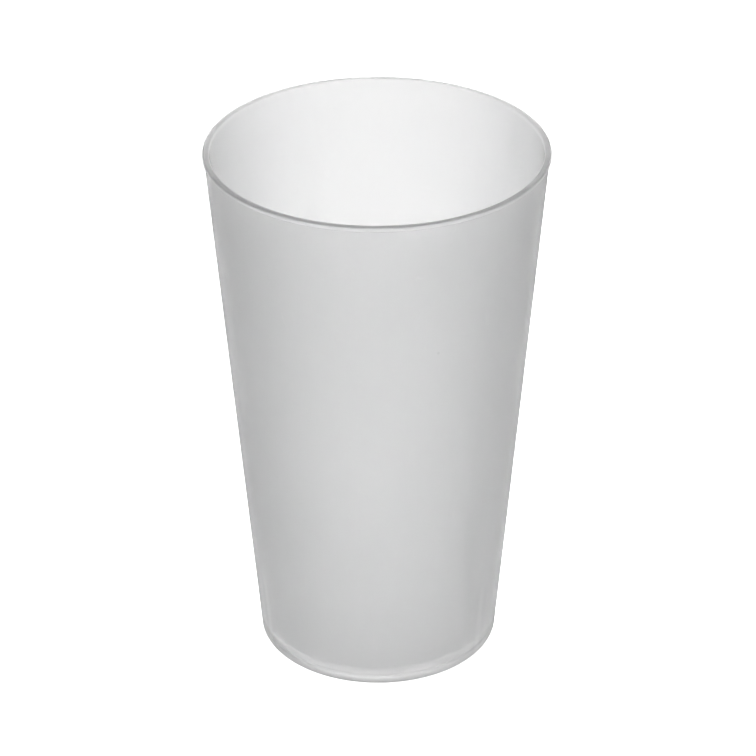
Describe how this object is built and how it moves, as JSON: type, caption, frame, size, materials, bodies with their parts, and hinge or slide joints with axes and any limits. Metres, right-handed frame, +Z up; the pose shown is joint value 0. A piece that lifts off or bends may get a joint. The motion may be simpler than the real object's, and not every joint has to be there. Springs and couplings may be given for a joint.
{
  "type": "pint cup",
  "caption": "Straight-tapered open drinking cup with a small lip round its rim, a recessed floor inside a foot ring, and small inner ribs that keep nested cups apart.",
  "frame": {"origin": "centre of the circle that the foot ring stands on, at table height", "axes": "+Z up along the cup's axis, out of its mouth; +Y towards the side with a stacking rib in its middle, and the other ribs lie evenly to either side of -Y"},
  "size_m": [0.0906, 0.0906, 0.1458],
  "materials": {
    "frosted_polypropylene": "natural frosted polypropylene: colourless, milky and translucent, with a satin surface"
  },
  "bodies": {
    "root": {"cup_body": "frosted_polypropylene"}
  },
  "joints": []
}
